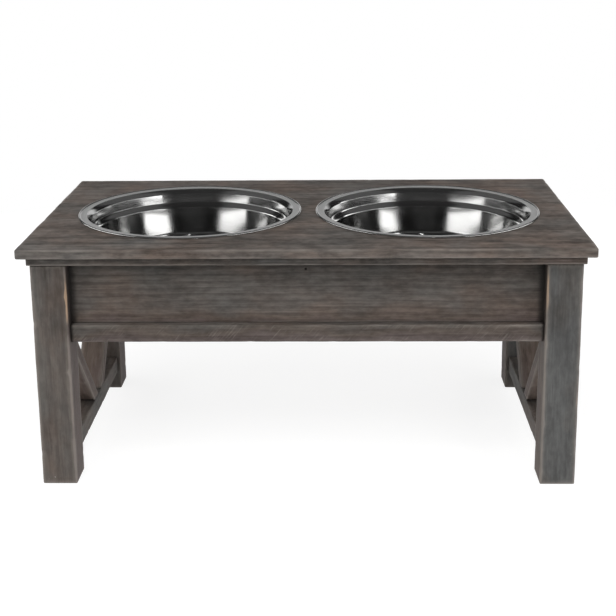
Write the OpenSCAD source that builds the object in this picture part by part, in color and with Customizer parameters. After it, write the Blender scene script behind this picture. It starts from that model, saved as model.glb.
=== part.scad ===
// Raised feeder stand: a stained wooden frame with two loose steel bowls let into its top.
// X runs to the right, Y to the back and Z up; the origin is on the floor, under the middle.

/* [Bowls] */
// Outside diameter of a bowl's rim
bowl_rim_diameter = 262; // [200:1:300]
// Gap between the two rims
bowl_gap = 16.7; // [6:0.1:60]
// Depth of a bowl's floor below the top board's face
bowl_depth = 74; // [60:1:100]
// Thickness of the bowl's sheet
bowl_wall = 1; // [0.6:0.1:1.4]
// Width of the lip that lies on the top board
bowl_lip_width = 14; // [10:0.5:20]
// Height of the lip above the top board
bowl_lip_height = 2; // [1.6:0.1:2.4]
// Width of the folded hem around the lip
bowl_hem_width = 3; // [2:0.25:5]
// Width of the roll where the lip turns down into the mouth
bowl_roll_width = 4.5; // [4:0.25:8]
// Height of that roll
bowl_roll_height = 9; // [5:0.25:10]
// Depth of the band above the step in the wall
bowl_band_height = 15; // [10:0.5:24]
// How far the wall steps in
bowl_step_width = 4; // [1:0.25:8]
// Height over which the wall steps in
bowl_step_height = 6.5; // [3:0.25:10]
// Lean of the wall, in degrees from upright
bowl_wall_lean = 8; // [2:0.5:16]
// Radius between the wall and the floor
bowl_floor_fillet = 26; // [10:1:34]
// Room between a bowl and its hole
bowl_clearance = 1; // [0.5:0.1:3]

/* [Top] */
// Height of the top board's face above the floor
stand_height = 272; // [230:1:420]
// Margin of the top board past a rim at each end
top_end_margin = 34.65; // [33:0.05:80]
// Margin of the top board past a rim in front and behind
top_side_margin = 42.5; // [38:0.5:90]
// Thickness of the top board
top_thickness = 10; // [8.5:0.5:24]
// Radius of the top board's corners in plan
top_corner_radius = 4; // [1:0.5:12]
// Rounding of the top board's edges
top_edge_radius = 2; // [0.5:0.25:4]

/* [Trim] */
// Height of the strips under the top board
trim_height = 10; // [6:0.2:14]
// How far the strips stand proud of the legs
trim_projection = 3; // [1:0.25:7]
// Rounding of the strips' lower edge
trim_edge_radius = 2; // [0.5:0.25:4]
// Room between a strip and a bowl's hole
trim_hole_margin = 2; // [0.5:0.25:3]

/* [Legs] */
// Side of a square leg
leg_size = 38; // [34:0.5:44]
// Rounding of a leg's upright edges
leg_edge_radius = 1.5; // [0.5:0.25:4]
// How far the top board reaches past a leg at each end
leg_end_inset = 11.8; // [5:0.1:13]
// How far the top board reaches past a leg in front and behind
leg_side_inset = 13.7; // [5:0.1:16]

/* [Aprons] */
// Height of the aprons, from the rail to the trim
apron_height = 70.4; // [60:0.1:110]
// Thickness of the aprons
apron_thickness = 9; // [6:0.5:11]
// How far an apron stands back from the legs' outer faces
apron_setback = 18.5; // [10:0.5:20]
// Depth of the grooves in the legs that hold the aprons
groove_depth = 6; // [3:0.5:8]
// Room around an apron in its groove
groove_clearance = 0.2; // [0.1:0.05:0.4]

/* [Rails] */
// Height of the rails under the aprons
rail_height = 19; // [14:0.5:30]
// Depth of the front and back rails
rail_depth = 20; // [16:0.5:24]
// How far the front and back rails stand back from the legs
rail_setback = 9; // [4:0.5:10]

/* [End frames] */
// How far the rails and braces of an end stand back from both faces of the legs
end_setback = 4; // [1:0.5:6]
// Height of the foot rails
foot_rail_height = 21; // [14:0.5:36]
// Height of the foot rails' underside above the floor
foot_rail_clearance = 23; // [8:0.5:60]
// Width of a brace, square to its length
brace_width = 16; // [14:0.5:24]
// Gap between the feet of the two braces of an end
brace_foot_gap = 12; // [4:0.5:40]
// How far a brace's head reaches along the end rail, from the leg
brace_head_reach = 5; // [2:0.5:9]

/* [Stretcher] */
// Thickness of the stretcher between the bowls
stretcher_thickness = 18; // [12:0.5:24]
// Height of the stretcher
stretcher_height = 40; // [30:1:70]

/* [Fasteners] */
// Diameter of the dowels at the ends of the rails
dowel_diameter = 6; // [4:0.5:8]
// Length of those dowels
dowel_length = 24; // [16:1:28]
// Distance between the two dowels of an end rail
dowel_spacing = 16; // [12:0.5:20]
// Diameter of the dowels at the ends of the braces
brace_dowel_diameter = 5; // [3:0.5:7]
// Length of those dowels
brace_dowel_length = 16; // [10:1:20]
// Room left past each end of a dowel
dowel_end_gap = 0.5; // [0.2:0.1:1]
// Diameter of the screws through the trim into the legs
frame_screw_diameter = 4; // [3:0.25:6]
// Length of those screws
frame_screw_length = 40; // [25:1:60]
// Diameter of their countersunk heads
frame_screw_head = 8; // [6.5:0.25:9]
// Diameter of the screws through the trim into the top board
top_screw_diameter = 3.5; // [2.5:0.25:5]
// Length of those screws
top_screw_length = 16.5; // [13:0.5:17.5]
// Diameter of their round heads
top_screw_head = 7; // [5.5:0.25:9]
// Height of their round heads
top_screw_head_height = 2.2; // [1.5:0.1:4]
// Distance of those screws from the leg or the stretcher beside them
top_screw_offset = 20; // [8:1:40]
// Diameter of the brads through the aprons into the stretcher
brad_diameter = 1.6; // [1.2:0.1:2.4]
// Length of the brads
brad_length = 28; // [16:1:50]
// Distance of the brads below the trim
brad_drop = 10.3; // [6:0.1:24]
// Room around a dowel, screw or brad in its hole
fastener_clearance = 0.05; // [0.02:0.01:0.1]

/* [Hidden] */
$fn = 96;
// Cuts run this far past the face that they open
cut = 1;
// Points along each curved stretch of a bowl's profile
curve_points = 8;

wood = [0.36, 0.33, 0.31];
raw_wood = [0.72, 0.60, 0.44];
zinc = [0.62, 0.62, 0.60];
steel = [0.78, 0.79, 0.80];

// Left and right, or front and back
sides = [-1, 1];

// The bowls, measured from the axis of each
rim_radius = bowl_rim_diameter / 2;
mouth_radius = rim_radius - bowl_lip_width;
bowl_x = rim_radius + bowl_gap / 2;

// The roll in a bowl's profile is part of an ellipse, which runs on into the leaning wall
roll_lean = atan(bowl_roll_height / bowl_roll_width * tan(bowl_wall_lean));
roll_x = mouth_radius + bowl_roll_width * cos(roll_lean);
roll_z = bowl_lip_height - bowl_roll_height;
// Where the roll's underside, nearly an ellipse one sheet smaller, passes the board's face
roll_reach = (bowl_roll_width - bowl_wall) * sqrt(1 - pow(roll_z / (bowl_roll_height - bowl_wall), 2));
hole_radius = roll_x - roll_reach + bowl_clearance;

// The top board and the strips under it
top_length = 2 * bowl_rim_diameter + bowl_gap + 2 * top_end_margin;
top_depth = bowl_rim_diameter + 2 * top_side_margin;
trim_top = stand_height - top_thickness;
frame_top = trim_top - trim_height;
trim_inner_x = bowl_x + hole_radius + trim_hole_margin;
trim_inner_y = hole_radius + trim_hole_margin;

// Outer and inner faces of the legs
leg_x = top_length / 2 - leg_end_inset;
leg_y = top_depth / 2 - leg_side_inset;
leg_inner_x = leg_x - leg_size;
leg_inner_y = leg_y - leg_size;
leg_middle_x = leg_x - leg_size / 2;
leg_middle_y = leg_y - leg_size / 2;
trim_x = leg_x + trim_projection;
trim_y = leg_y + trim_projection;

// Inner faces of the aprons, and the heights of the rails
apron_inner = apron_setback + apron_thickness;
rail_top = frame_top - apron_height;
rail_bottom = rail_top - rail_height;
rail_middle = rail_bottom + rail_height / 2;
rail_middle_y = leg_y - rail_setback - rail_depth / 2;
foot_rail_top = foot_rail_clearance + foot_rail_height;
foot_rail_middle = foot_rail_clearance + foot_rail_height / 2;

// A brace runs from its foot on the foot rail into the corner of the leg and the end rail
end_depth = leg_size - 2 * end_setback;
brace_foot_in = brace_foot_gap / 2;
brace_angle = atan2(rail_bottom - foot_rail_top, leg_inner_y - brace_head_reach - brace_foot_in);
brace_span = brace_width / sin(brace_angle);
brace_heel_z = rail_bottom - (brace_span - brace_head_reach) * tan(brace_angle);

// The dowel of its foot stands upright and that of its head lies level, each amid the brace's wood
brace_foot_y = brace_foot_in + brace_span / 2 + brace_dowel_length / 4 / tan(brace_angle);
brace_cover_z = rail_bottom - max(brace_dowel_length / 2 - brace_head_reach, 0) * tan(brace_angle);
brace_head_z = (brace_heel_z + brace_cover_z) / 2;

// Places of the screws into the top board
top_screw_y = (trim_inner_y + leg_y - apron_inner) / 2;
top_screw_xs = [stretcher_thickness / 2 + top_screw_offset, leg_inner_x - top_screw_offset];

// Points on an ellipse of half sizes rx and ry about [x, y], from one angle to another
function arc(x, y, rx, ry, from, to) = [
    for (i = [0 : curve_points])
        let (a = from + (to - from) * i / curve_points)
        [x + rx * cos(a), y + ry * sin(a)]
];

// A path moved sideways, to the right of its run
function shifted(path, distance) = [
    for (i = [0 : len(path) - 1])
        let (
            before = path[max(i - 1, 0)],
            after = path[min(i + 1, len(path) - 1)],
            run = (after - before) / norm(after - before)
        )
        path[i] + distance * [run[1], -run[0]]
];

function reversed(list) = [for (i = [len(list) - 1 : -1 : 0]) list[i]];

// A block between two values on each axis, given in either order
module span(xs, ys, zs) {
    translate([min(xs), min(ys), min(zs)])
        cube([abs(xs[1] - xs[0]), abs(ys[1] - ys[0]), abs(zs[1] - zs[0])]);
}

// A round rod along X, Y or Z
module rod_x(xs, y, z, d) {
    translate([min(xs), y, z]) rotate([0, 90, 0]) cylinder(h = abs(xs[1] - xs[0]), d = d);
}

module rod_y(x, ys, z, d) {
    translate([x, max(ys), z]) rotate([90, 0, 0]) cylinder(h = abs(ys[1] - ys[0]), d = d);
}

module rod_z(x, y, zs, d) {
    translate([x, y, min(zs)]) cylinder(h = abs(zs[1] - zs[0]), d = d);
}

// A flat outline in X and Z drawn out along Y, or in Y and Z drawn out along X
module along_y(length) {
    translate([0, length / 2, 0]) rotate([90, 0, 0]) linear_extrude(length) children();
}

module along_x(length) {
    translate([-length / 2, 0, 0]) rotate([90, 0, 90]) linear_extrude(length) children();
}

// A rectangle about the origin with round corners
module round_rect(width, height, r) {
    square([width - 2 * r, height], center = true);
    square([width, height - 2 * r], center = true);
    for (sx = sides)
        for (sy = sides)
            translate([sx * (width / 2 - r), sy * (height / 2 - r)]) circle(r);
}

// The outline of a strip from its inner edge to its outer edge, with the lower outer edge eased
module eased_outline(inner, outer) {
    side = sign(outer);
    difference() {
        translate([min(inner, outer), frame_top]) square([abs(outer - inner), trim_height]);
        translate([outer - side * trim_edge_radius, frame_top + trim_edge_radius])
            difference() {
                translate([min(0, side * 2 * trim_edge_radius), -2 * trim_edge_radius])
                    square(2 * trim_edge_radius);
                circle(trim_edge_radius);
            }
    }
}

// Fasteners, each also drawn a little larger as its own hole
module side_dowel(sx, sy, hole = false) {
    reach = dowel_length / 2 + (hole ? dowel_end_gap : 0);
    d = dowel_diameter + (hole ? 2 * fastener_clearance : 0);
    rod_x([sx * (leg_inner_x - reach), sx * (leg_inner_x + reach)], sy * rail_middle_y, rail_middle, d);
}

module end_dowels(sx, sy, z, hole = false) {
    reach = dowel_length / 2 + (hole ? dowel_end_gap : 0);
    d = dowel_diameter + (hole ? 2 * fastener_clearance : 0);
    for (k = sides)
        rod_y(sx * leg_middle_x + k * dowel_spacing / 2,
              [sy * (leg_inner_y - reach), sy * (leg_inner_y + reach)], z, d);
}

module brace_foot_dowel(sx, sy, hole = false) {
    reach = brace_dowel_length / 2 + (hole ? dowel_end_gap : 0);
    d = brace_dowel_diameter + (hole ? 2 * fastener_clearance : 0);
    rod_z(sx * leg_middle_x, sy * brace_foot_y, [foot_rail_top - reach, foot_rail_top + reach], d);
}

module brace_head_dowel(sx, sy, hole = false) {
    reach = brace_dowel_length / 2 + (hole ? dowel_end_gap : 0);
    d = brace_dowel_diameter + (hole ? 2 * fastener_clearance : 0);
    rod_y(sx * leg_middle_x, [sy * (leg_inner_y - reach), sy * (leg_inner_y + reach)], brace_head_z, d);
}

module frame_screw(sx, sy, hole = false) {
    grow = hole ? fastener_clearance : 0;
    head_height = (frame_screw_head - frame_screw_diameter) / 2;
    tip = trim_top - frame_screw_length - (hole ? dowel_end_gap : 0);
    translate([sx * leg_middle_x, sy * leg_middle_y, 0]) {
        rod_z(0, 0, [tip, trim_top - head_height / 2], frame_screw_diameter + 2 * grow);
        translate([0, 0, trim_top - head_height - grow])
            cylinder(h = head_height + grow, d1 = frame_screw_diameter, d2 = frame_screw_head + 2 * grow);
    }
}

module top_screw(hole = false) {
    tip = frame_top + top_screw_length + (hole ? dowel_end_gap : 0);
    rod_z(0, 0, [frame_top - cut, tip], top_screw_diameter + (hole ? 2 * fastener_clearance : 0));
    if (!hole) rod_z(0, 0, [frame_top - top_screw_head_height, frame_top], top_screw_head);
}

module brad(sy, hole = false) {
    face = leg_y - apron_setback;
    past = hole ? dowel_end_gap : 0;
    rod_y(0, [sy * (face + (hole ? cut : 0)), sy * (face - brad_length - past)], frame_top - brad_drop,
          brad_diameter + (hole ? 2 * fastener_clearance : 0));
}

// Beside each leg and on both sides of the stretcher, along the front or the back
module top_screw_places(sy) {
    for (sx = sides)
        for (x = top_screw_xs)
            translate([sx * x, sy * top_screw_y, 0]) children();
}

// The board, rounded in plan and along every edge
module top_board() {
    color(wood) difference() {
        translate([0, 0, stand_height - top_thickness / 2]) intersection() {
            linear_extrude(top_thickness, center = true)
                round_rect(top_length, top_depth, top_corner_radius);
            along_x(top_length) round_rect(top_depth, top_thickness, top_edge_radius);
            along_y(top_depth) round_rect(top_length, top_thickness, top_edge_radius);
        }
        for (sx = sides)
            rod_z(sx * bowl_x, 0, [trim_top - cut, stand_height + cut], 2 * hole_radius);
        for (sy = sides)
            top_screw_places(sy) top_screw(hole = true);
    }
}

// Front and back strips run the whole length, over the legs
module long_trim(sy) {
    color(wood) difference() {
        intersection() {
            along_x(2 * trim_x) eased_outline(sy * trim_inner_y, sy * trim_y);
            along_y(2 * trim_y) {
                eased_outline(0, -trim_x);
                eased_outline(0, trim_x);
            }
        }
        top_screw_places(sy) top_screw(hole = true);
        for (sx = sides)
            frame_screw(sx, sy, hole = true);
    }
}

// End strips fit between the long ones
module short_trim(sx) {
    color(wood) along_y(2 * trim_inner_y) eased_outline(sx * trim_inner_x, sx * trim_x);
}

// Square legs, grooved for the aprons and bored for dowels and a screw
module leg(sx, sy) {
    groove_low = apron_setback - groove_clearance;
    groove_high = apron_inner + groove_clearance;
    groove_zs = [rail_top, frame_top + cut];
    color(wood) difference() {
        translate([sx * leg_middle_x, sy * leg_middle_y, 0])
            linear_extrude(frame_top) round_rect(leg_size, leg_size, leg_edge_radius);
        span([sx * (leg_inner_x - cut), sx * (leg_inner_x + groove_depth)],
             [sy * (leg_y - groove_high), sy * (leg_y - groove_low)], groove_zs);
        span([sx * (leg_x - groove_high), sx * (leg_x - groove_low)],
             [sy * (leg_inner_y - cut), sy * (leg_inner_y + groove_depth)], groove_zs);
        side_dowel(sx, sy, hole = true);
        end_dowels(sx, sy, rail_middle, hole = true);
        end_dowels(sx, sy, foot_rail_middle, hole = true);
        brace_head_dowel(sx, sy, hole = true);
        frame_screw(sx, sy, hole = true);
    }
}

// Aprons stand on the rails, with their ends in the legs' grooves
module long_apron(sy) {
    reach = leg_inner_x + groove_depth - groove_clearance;
    color(wood) difference() {
        span([-reach, reach], [sy * (leg_y - apron_inner), sy * (leg_y - apron_setback)],
             [rail_top, frame_top]);
        brad(sy, hole = true);
    }
}

module short_apron(sx) {
    reach = leg_inner_y + groove_depth - groove_clearance;
    color(wood) span([sx * (leg_x - apron_inner), sx * (leg_x - apron_setback)], [-reach, reach],
                     [rail_top, frame_top]);
}

// Rails under the aprons
module long_rail(sy) {
    color(wood) difference() {
        span([-leg_inner_x, leg_inner_x],
             [sy * (leg_y - rail_setback - rail_depth), sy * (leg_y - rail_setback)],
             [rail_bottom, rail_top]);
        for (sx = sides)
            side_dowel(sx, sy, hole = true);
    }
}

// A rail of an end frame, between the front and back legs
module end_rail(sx, zs) {
    span([sx * (leg_middle_x - end_depth / 2), sx * (leg_middle_x + end_depth / 2)],
         [-leg_inner_y, leg_inner_y], zs);
}

module short_rail(sx) {
    color(wood) difference() {
        end_rail(sx, [rail_bottom, rail_top]);
        for (sy = sides)
            end_dowels(sx, sy, rail_middle, hole = true);
    }
}

module foot_rail(sx) {
    color(wood) difference() {
        end_rail(sx, [foot_rail_clearance, foot_rail_top]);
        for (sy = sides) {
            end_dowels(sx, sy, foot_rail_middle, hole = true);
            brace_foot_dowel(sx, sy, hole = true);
        }
    }
}

// A brace leans out from the foot rail, and its head is cut to the leg and the end rail
module brace(sx, sy) {
    color(wood) difference() {
        translate([sx * leg_middle_x, 0, 0]) along_x(end_depth) polygon([
            [sy * brace_foot_in, foot_rail_top],
            [sy * (brace_foot_in + brace_span), foot_rail_top],
            [sy * leg_inner_y, brace_heel_z],
            [sy * leg_inner_y, rail_bottom],
            [sy * (leg_inner_y - brace_head_reach), rail_bottom]
        ]);
        brace_foot_dowel(sx, sy, hole = true);
        brace_head_dowel(sx, sy, hole = true);
    }
}

// The stretcher meets both aprons and comes up between the strips to the top board
module centre_stretcher() {
    half = stretcher_thickness / 2;
    reach = leg_y - apron_inner;
    foot = trim_top - stretcher_height;
    color(raw_wood) difference() {
        union() {
            span([-half, half], [-reach, reach], [foot, frame_top]);
            span([-half, half], [-trim_inner_y, trim_inner_y], [foot, trim_top]);
        }
        for (sy = sides)
            brad(sy, hole = true);
    }
}

module rail_dowels() {
    color(raw_wood) for (sx = sides)
        for (sy = sides) {
            side_dowel(sx, sy);
            end_dowels(sx, sy, rail_middle);
            end_dowels(sx, sy, foot_rail_middle);
        }
}

module brace_dowels() {
    color(raw_wood) for (sx = sides)
        for (sy = sides) {
            brace_foot_dowel(sx, sy);
            brace_head_dowel(sx, sy);
        }
}

module frame_screws() {
    color(zinc) for (sx = sides)
        for (sy = sides)
            frame_screw(sx, sy);
}

module top_screws() {
    color(zinc) for (sy = sides)
        top_screw_places(sy) top_screw();
}

module stretcher_brads() {
    color(zinc) for (sy = sides)
        brad(sy);
}

// A pressed bowl: floor, leaning wall with a step in it, roll, flat lip and folded hem
module bowl(sx) {
    lean = bowl_wall_lean;
    wall_top = roll_z + bowl_roll_height * sin(roll_lean);
    band_radius = mouth_radius - (wall_top + bowl_band_height) * tan(lean);
    step_foot = -bowl_band_height - bowl_step_height;
    fillet_z = bowl_floor_fillet - bowl_depth;
    fillet_radius = band_radius - bowl_step_width - bowl_floor_fillet * cos(lean)
        - (step_foot - fillet_z + bowl_floor_fillet * sin(lean)) * tan(lean);
    // The step eases in and out again by half a wave
    step = [
        for (i = [0 : curve_points])
            let (t = i / curve_points)
            [band_radius - bowl_step_width * (1 + cos(180 * t)) / 2, step_foot + bowl_step_height * t]
    ];
    inside = concat(
        [[0, -bowl_depth]],
        arc(fillet_radius, fillet_z, bowl_floor_fillet, bowl_floor_fillet, -90, -lean),
        step,
        arc(roll_x, roll_z, bowl_roll_width, bowl_roll_height, 180 - roll_lean, 90),
        [[rim_radius - bowl_hem_width, bowl_lip_height]]
    );
    hem = [[rim_radius, bowl_lip_height], [rim_radius, 0], [rim_radius - bowl_hem_width, 0]];
    color(steel) translate([sx * bowl_x, 0, stand_height])
        rotate_extrude() polygon(concat(inside, hem, reversed(shifted(inside, bowl_wall))));
}

top_board();
long_trim(-1);  // trim_front
long_trim(1);  // trim_back
short_trim(-1);  // trim_left
short_trim(1);  // trim_right
leg(-1, -1);  // leg_front_left
leg(1, -1);  // leg_front_right
leg(-1, 1);  // leg_back_left
leg(1, 1);  // leg_back_right
long_apron(-1);  // apron_front
long_apron(1);  // apron_back
short_apron(-1);  // apron_left
short_apron(1);  // apron_right
long_rail(-1);  // rail_front
long_rail(1);  // rail_back
short_rail(-1);  // rail_left
short_rail(1);  // rail_right
foot_rail(-1);  // foot_rail_left
foot_rail(1);  // foot_rail_right
brace(-1, -1);  // brace_left_front
brace(-1, 1);  // brace_left_back
brace(1, -1);  // brace_right_front
brace(1, 1);  // brace_right_back
centre_stretcher();
rail_dowels();
brace_dowels();
frame_screws();
top_screws();
stretcher_brads();
bowl(-1);  // bowl_left
bowl(1);  // bowl_right
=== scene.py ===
"""Looks of a raised dog feeder stand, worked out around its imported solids.

Sizes are metres in the part's own frame: X to the right, Y to the back and Z up from the floor.
"""

import logging
import math
from dataclasses import dataclass, field
from enum import Enum
from typing import Any

import bmesh
import bpy
import numpy as np
from mathutils import Matrix, Vector


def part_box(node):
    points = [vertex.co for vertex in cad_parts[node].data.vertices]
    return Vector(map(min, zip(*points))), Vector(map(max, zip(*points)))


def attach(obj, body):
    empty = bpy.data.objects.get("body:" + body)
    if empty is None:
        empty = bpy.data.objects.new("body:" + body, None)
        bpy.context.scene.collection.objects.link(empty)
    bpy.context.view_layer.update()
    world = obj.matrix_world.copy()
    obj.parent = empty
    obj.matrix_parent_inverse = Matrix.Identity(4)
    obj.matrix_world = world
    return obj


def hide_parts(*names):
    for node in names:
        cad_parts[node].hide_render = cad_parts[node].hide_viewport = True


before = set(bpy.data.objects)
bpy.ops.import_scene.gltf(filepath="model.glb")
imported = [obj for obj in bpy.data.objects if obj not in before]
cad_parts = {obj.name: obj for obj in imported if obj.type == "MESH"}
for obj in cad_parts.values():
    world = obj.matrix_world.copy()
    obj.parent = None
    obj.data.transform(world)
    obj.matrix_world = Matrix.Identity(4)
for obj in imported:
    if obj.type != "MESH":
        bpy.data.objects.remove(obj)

LOG = logging.getLogger("feeder_stand")
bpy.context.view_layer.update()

Array = np.ndarray
Socket = bpy.types.NodeSocket
Colour = tuple[float, float, float]
Triple = tuple[float, float, float]

STAND = "stand"
LONG_SIDES = ("front", "back")
SHORT_SIDES = ("left", "right")

# A quarter turn in even steps, for rounded corners
CORNER_STEPS = 4
QUARTER = np.linspace(0, np.pi / 2, CORNER_STEPS + 1)
# Where a flat between two corners is cut, as shares of its width
FLAT_CUTS = np.array([0.03, 0.1, 0.25, 0.5, 0.75, 0.9, 0.97])
# Rings on a stick's flat end, as shares of its size, and how close each is to the end's edge
END_SHARES = np.array([0.2, 0.55, 0.85, 0.95])
END_EDGES = np.array([0.0, 0.0, 0.12, 0.5])
# Distances of the first rings behind the rounded edge of a stick's end
END_STEPS = np.array([0.0012, 0.004, 0.009])
# Distance over which wear fades away from an edge
EDGE_FADE = 0.0011
# A stick's widest corner, as a share of its half size, and its finest one
WIDEST_CORNER = 0.42
FINEST_CORNER = 0.0002
# Marks a point with no seam near it, in reaches of a seam
FAR_FROM_SEAM = 10.0
# Points closer together than this are welded
WELD = 1e-6
# Share of each noise of the grain in the tone of stained wood
TONE_SHARES = {"Streak": 0.26, "Fibre": 0.2, "Blotch": 0.3, "Mottle": 0.24}
# First seed of each kind of stick, which sets its grain and the wear of its edges
SEEDS = {"trim": 11, "apron": 21, "rail": 31, "foot_rail": 33, "leg": 41, "brace": 51}


class Grain(Enum):
    """The axis that a stick's grain runs along."""

    X = 0
    Y = 1
    Z = 2


class Ray(Enum):
    """Kinds of ray that the studio tells apart."""

    CAMERA = "Is Camera Ray"
    GLOSSY = "Is Glossy Ray"
    TRANSMISSION = "Is Transmission Ray"


class LampShape(Enum):
    """Outlines of a soft lamp."""

    ROUND = "ELLIPSE"
    SQUARE = "RECTANGLE"


@dataclass
class Surface:
    """A surface: its points, its faces and the values that its finish reads at each point."""

    points: Array
    faces: list[Array]
    values: dict[str, Array] = field(default_factory=dict)

    @classmethod
    def joined(cls, parts: list["Surface"]) -> "Surface":
        """Several surfaces in one, with each one's faces counted on from the points before it.

        Args:
            parts: the surfaces, which all hold the same values.

        Returns:
            The one surface.
        """
        starts = np.cumsum([0] + [len(part.points) for part in parts])
        faces = [block + start for part, start in zip(parts, starts) for block in part.faces]
        values = {key: np.concatenate([part.values[key] for part in parts]) for key in parts[0].values}
        return cls(np.concatenate([part.points for part in parts]), faces, values)


def node_box(node: str) -> tuple[Array, Array]:
    """The lowest and the highest corner of a solid."""
    low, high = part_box(node)
    return np.array(low), np.array(high)


def node_points(node: str) -> Array:
    """All the points of a solid.

    Args:
        node: the solid's name.

    Returns:
        X, Y and Z of each point.
    """
    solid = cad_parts[node].data
    spots = np.empty(len(solid.vertices) * 3)
    solid.vertices.foreach_get("co", spots)
    return spots.reshape(-1, 3)


def grid_faces(rows: int, around: int) -> Array:
    """Faces between rows of points that each run once round, numbered row by row.

    Args:
        rows: number of rows.
        around: points on each row.

    Returns:
        Four point numbers for each face.
    """
    row = np.arange(rows - 1)[:, None] * around
    column = np.arange(around)
    beside = (column + 1) % around
    corners = [row + column, row + beside, row + around + beside, row + around + column]
    return np.stack(corners, -1).reshape(-1, 4)


def fan_faces(ring: Array, pole: int) -> Array:
    """Triangles from each pair of neighbours on a closed ring to one pole."""
    return np.stack([ring, np.roll(ring, -1), np.full_like(ring, pole)], -1)


def tube_faces(rows: int, around: int) -> list[Array]:
    """Faces of a tube closed at its first and last row by two poles, numbered after its rows.

    Args:
        rows: number of rows.
        around: points on each row.

    Returns:
        Faces of the wall and of the two ends.
    """
    count = rows * around
    ring = np.arange(around)
    return [grid_faces(rows, around), fan_faces(ring, count), fan_faces(ring + count - around, count + 1)]


def turned(radius: Array, around: int) -> Array:
    """Circles (r cos a, r sin a), by radius and place on the circle."""
    angle = np.linspace(0, 2 * np.pi, around, endpoint=False)
    return radius[:, None, None] * np.stack([np.cos(angle), np.sin(angle)], -1)


def raised(plan: Array, height: Any) -> Array:
    """Rows of points on a plan, each with its height as a third number, in one list."""
    tall = np.broadcast_to(height, plan.shape[:2])[..., None]
    return np.concatenate([plan, tall], -1).reshape(-1, 3)


def edged_rows(plan: Array, height: Any, edge: Any) -> Surface:
    """Rows of points that each run once round, with an edge value at each point."""
    near = np.broadcast_to(edge, plan.shape[:2])
    return Surface(raised(plan, height), [grid_faces(*near.shape)], {"edge": near.ravel()})


def turned_part(radius: Array, height: Array, poles: Any, around: int) -> Surface:
    """A closed shape turned about Z: points (r cos a, r sin a, z), and a pole at each end."""
    points = np.concatenate([raised(turned(radius, around), height), np.outer(poles, [0, 0, 1])])
    return Surface(points, tube_faces(len(radius), around))


def table(*blocks: tuple[Any, ...]) -> Array:
    """Blocks of columns, each spread to its longest column, joined row after row."""
    return np.concatenate([np.stack(np.broadcast_arrays(*block), -1) for block in blocks])


def distances(path: Array) -> Array:
    """How far along a path each of its points lies."""
    return np.append(0, np.cumsum(np.linalg.norm(np.diff(path, axis=0), axis=1)))


def crowded(count: int) -> Array:
    """Shares (1 - cos a) / 2 from 0 to 1, which crowd towards both ends and keep creases crisp."""
    return (1 - np.cos(np.linspace(0, np.pi, count))) / 2


def straight(start: Array, end: Array, count: int) -> Array:
    """Points on a straight line, crowded towards both its ends."""
    return start + crowded(count)[:, None] * (end - start)


def wander(at: Array, seed: int, longest: float = 0.13, waves: int = 6) -> Array:
    """A smooth value from about -1 to 1: a sum of sines, each shorter and lower than the one before.

    Args:
        at: distances at which the value is wanted.
        seed: number that sets the phases.
        longest: length of the longest wave.
        waves: number of sines.

    Returns:
        One value for each distance.
    """
    shorter, lower, span = 0.6, 0.8, 1.6
    phase = np.random.default_rng(seed).uniform(0, 2 * np.pi, waves)
    step = np.arange(waves)
    height = lower ** step
    angle = 2 * np.pi * at[..., None] / (longest * shorter ** step) + phase
    return (np.sin(angle) * height).sum(-1) / height.sum() * span


def worn_radius(at: Array, seed: int, radius: float, chips: float) -> Array:
    """Radius of a hand-worn edge: it wanders about its mean and opens into a few chips.

    Args:
        at: distances along the edge.
        seed: number that sets where the chips fall.
        radius: mean radius.
        chips: depth of the chips, in radii.

    Returns:
        The radius at each distance.
    """
    drift, chip_length, chip_start = 0.35, 0.05, 0.6
    least, most = 0.45, 2.4
    chip = np.clip(wander(at, seed + 500, chip_length) - chip_start, 0, 1)
    return radius * np.clip(1 + drift * wander(at, seed) + chips * chip, least, most)


def rounded_ring(width: Array, height: Array, radius: Array) -> tuple[Array, Array]:
    """Rectangles with four round corners, one for each station along a stick.

    A corner's points lie at its centre plus radius times (cos a, sin a), for a quarter turn of a.
    The flat from one corner to the next is cut at fixed shares of its length.

    Args:
        width: half widths, one for each station.
        height: half heights.
        radius: radii of the four corners, by station.

    Returns:
        Points by station and place on the ring, and how close each is to an edge, from 0 to 1.
    """
    side = np.array([[1, 1], [-1, 1], [-1, -1], [1, -1]])
    angle = QUARTER + np.pi / 2 * np.arange(4)[:, None]
    reach = np.stack([width, height], -1)[:, None, :] - radius[..., None]
    spoke = np.stack([np.cos(angle), np.sin(angle)], -1)
    arc = (side * reach)[:, :, None] + radius[:, :, None, None] * spoke
    start = arc[:, :, -1]
    run = np.roll(arc[:, :, 0], -1, axis=1) - start
    flat = start[:, :, None] + FLAT_CUTS[:, None] * run[:, :, None]
    inward = np.minimum(FLAT_CUTS, 1 - FLAT_CUTS) * np.linalg.norm(run, axis=-1)[..., None]
    edge = np.concatenate([np.ones(arc.shape[:3]), np.exp(-inward / EDGE_FADE)], 2)
    ring = np.concatenate([arc, flat], 2)
    return ring.reshape(len(width), -1, 2), edge.reshape(len(width), -1)


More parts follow.
